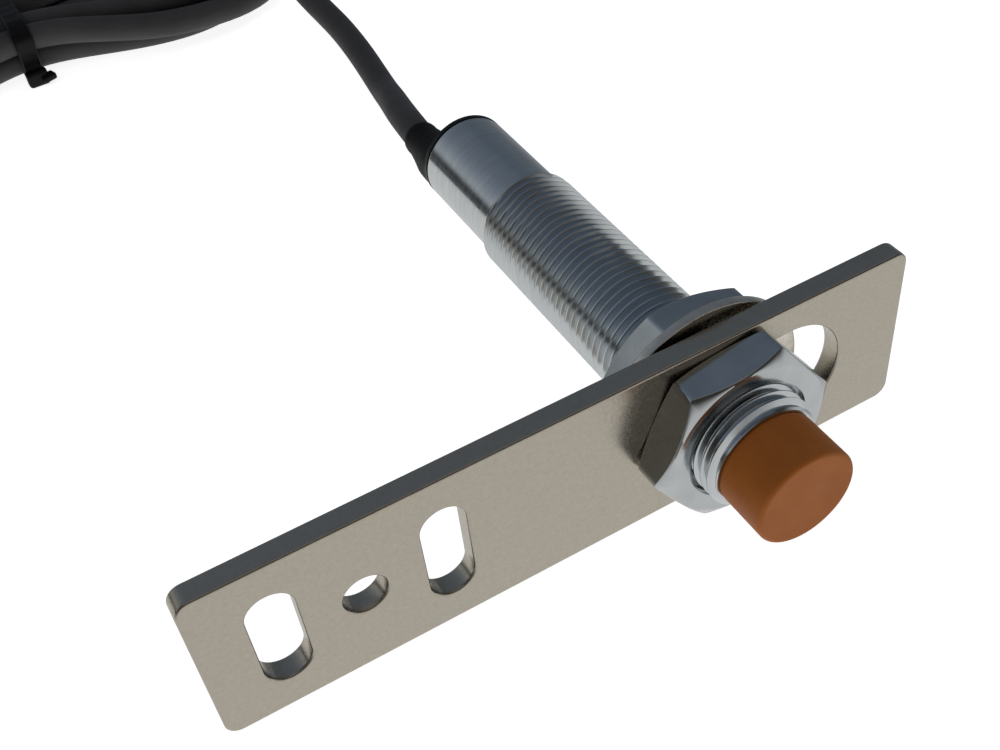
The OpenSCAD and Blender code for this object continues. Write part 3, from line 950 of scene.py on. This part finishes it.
def make_sky():
    """Room round the table: pale below the horizon, dim above, with a dark streak on the left."""
    world = bpy.data.worlds.new("studio")
    bpy.context.scene.world = world
    world.use_nodes = True
    tree = world.node_tree
    way = add_node(tree, "TexCoord", {}).outputs["Generated"]
    parts = add_node(tree, "SeparateXYZ", {"Vector": way}).outputs
    height = level(tree, parts["Z"], 0, 1, -1, 1)
    left = ramp(tree, height, [
        (0.0, (0.78, 0.78, 0.77)), (0.425, (0.70, 0.70, 0.69)), (0.47, (0.50, 0.50, 0.49)),
        (0.49, (0.05, 0.055, 0.06)),
        (0.565, (0.06, 0.06, 0.06)), (0.605, (0.33, 0.35, 0.36)), (0.635, (0.42, 0.45, 0.47)),
        (0.75, (0.25, 0.28, 0.32)), (0.87, (0.15, 0.18, 0.225)), (1.0, (0.12, 0.145, 0.185)),
    ])
    right = ramp(tree, height, [
        (0.0, (0.75, 0.75, 0.74)), (0.19, (0.60, 0.60, 0.60)), (0.30, (0.26, 0.28, 0.30)),
        (0.5, (0.14, 0.155, 0.175)), (0.75, (0.105, 0.13, 0.16)), (1.0, (0.12, 0.145, 0.185)),
    ])
    front = ramp(tree, height, [
        (0.0, (0.80, 0.80, 0.79)), (0.46, (0.70, 0.70, 0.69)), (0.57, (0.30, 0.30, 0.30)),
        (0.65, (0.045, 0.04, 0.035)), (0.84, (0.05, 0.045, 0.04)), (0.88, (0.27, 0.24, 0.21)),
        (1.0, (0.20, 0.20, 0.20)),
    ])
    corner = ramp(tree, height, [
        (0.0, (0.80, 0.80, 0.79)), (0.27, (0.60, 0.60, 0.59)), (0.34, (0.20, 0.19, 0.17)),
        (0.5, (0.16, 0.15, 0.14)), (0.65, (0.045, 0.04, 0.035)), (1.0, (0.10, 0.10, 0.10)),
    ])
    aside = add_node(tree, "VectorMath", {0: way, 1: (0.8, 0.6, 0)}, operation="DOT_PRODUCT")
    to_right = level(tree, aside.outputs["Value"], 0, 1, 0.1, 0.75)
    to_front = level(tree, parts["Y"], 1, 0, -0.35, 0.0)
    sides = add_node(tree, "Mix", {0: to_right, 6: left, 7: right}, data_type="RGBA")
    to_corner = level(tree, parts["X"], 1, 0, -0.65, -0.4)
    near = add_node(tree, "Mix", {0: to_corner, 6: front, 7: corner}, data_type="RGBA")
    whole = add_node(tree, "Mix", {0: to_front, 6: sides.outputs[2], 7: near.outputs[2]},
                     data_type="RGBA")
    tree.links.new(whole.outputs[2], tree.nodes["Background"].inputs["Color"])
    tree.nodes["Background"].inputs["Strength"].default_value = 1


LAMP_SIZE = 0.6
LAMP_TARGET = (0, 0.02, 0.01)


def make_lamp(name, place, power):
    """Soft square lamp that looks at the sensor and doesn't show in mirror reflections."""
    data = bpy.data.lights.new(name, "AREA")
    data.shape = "SQUARE"
    data.size = LAMP_SIZE
    data.energy = power
    lamp = bpy.data.objects.new(name, data)
    lamp.location = place
    towards = Vector(LAMP_TARGET) - Vector(place)
    lamp.rotation_euler = towards.to_track_quat("-Z", "Y").to_euler()
    lamp.visible_glossy = False
    bpy.context.scene.collection.objects.link(lamp)


make_floor()
make_sky()
make_lamp("key", (-0.5, -0.3, 0.9), 1.0)
make_lamp("fill", (0.5, 0.15, 0.7), 0.8)
bpy.context.scene.view_settings.view_transform = "Standard"

bpy.context.view_layer.update()
